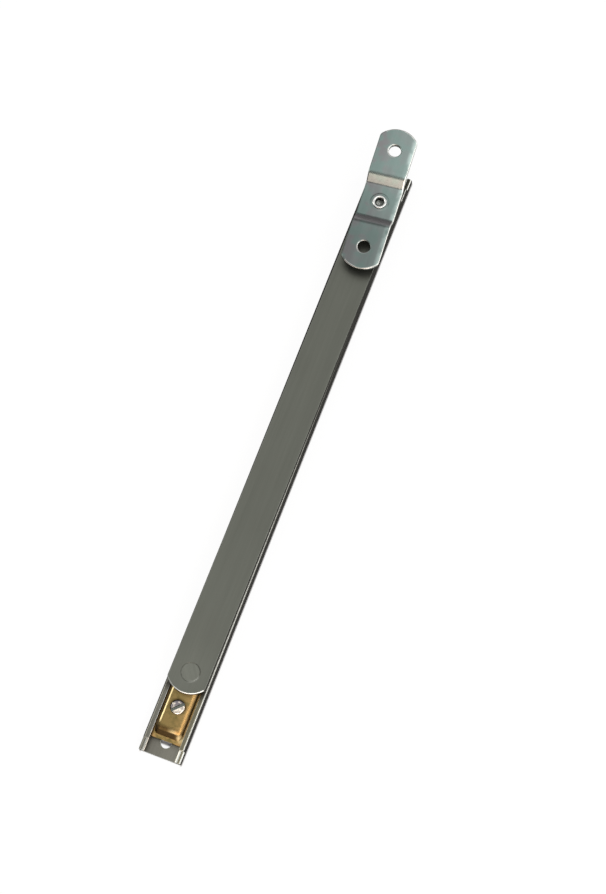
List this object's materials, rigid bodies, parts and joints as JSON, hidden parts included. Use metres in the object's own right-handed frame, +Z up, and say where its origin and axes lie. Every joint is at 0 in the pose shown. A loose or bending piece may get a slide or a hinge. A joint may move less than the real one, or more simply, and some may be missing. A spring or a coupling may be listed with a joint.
{
  "type": "friction stay",
  "caption": "Sliding window friction stay: a lipped steel track holds a brass shoe with a slotted friction screw; a flat arm pivots on it and ends in a stepped sash bracket.",
  "frame": {"origin": "middle of the track's base, on the face that lies on the window frame", "axes": "+X across the track, +Y along the track towards the sash bracket, +Z up from the base"},
  "size_m": [0.0208, 0.2962, 0.0178],
  "materials": {
    "track_zinc": "satin zinc plate",
    "shoe_brass": "dull cast brass, worn on the back",
    "screw_steel": "bright zinc plate",
    "pad_nylon": "moulded",
    "arm_zinc": "dull zinc plate with a fine lengthwise grain",
    "rivet_steel": "dull zinc plate",
    "washer_nylon": "moulded",
    "bracket_zinc": "bluish zinc plate",
    "rivet_bright": "bright, rolled over"
  },
  "bodies": {
    "track": {"track_channel": "track_zinc"},
    "shoe": {"slider_shoe": "shoe_brass", "slider_rivet": "rivet_steel"},
    "pad": {"friction_pad": "pad_nylon"},
    "screw": {"adjusting_screw": "screw_steel"},
    "arm": {"arm": "arm_zinc", "slider_washer": "washer_nylon"},
    "bracket": {"sash_bracket": "bracket_zinc", "bracket_rivet": "rivet_bright", "bracket_washer": "washer_nylon"}
  },
  "joints": [
    {"name": "shoe_slide", "type": "slide", "parent": "track", "child": "shoe", "axis": [0, 1, 0], "range_m": [-0.0014, 0.2246]},
    {"name": "pad_lift", "type": "slide", "parent": "shoe", "child": "pad", "axis": [0, 0, 1], "range_m": [0, 0.00127]},
    {"name": "screw_turn", "type": "hinge", "parent": "pad", "child": "screw", "pos_m": [0, -0.1184, 0.008], "axis": [0, 0, 1], "range_deg": [0, 360]},
    {"name": "arm_swing", "type": "hinge", "parent": "shoe", "child": "arm", "pos_m": [0, -0.1032, 0.0085], "axis": [0, 0, 1], "range_deg": [-120, 120]},
    {"name": "bracket_swing", "type": "hinge", "parent": "arm", "child": "bracket", "pos_m": [0.00079, 0.1218, 0.011], "axis": [0, 0, 1], "continuous": true}
  ],
  "couplings": [
    {"joint": "screw_turn", "follows": "pad_lift", "rad_per_m": 4947.4}
  ]
}
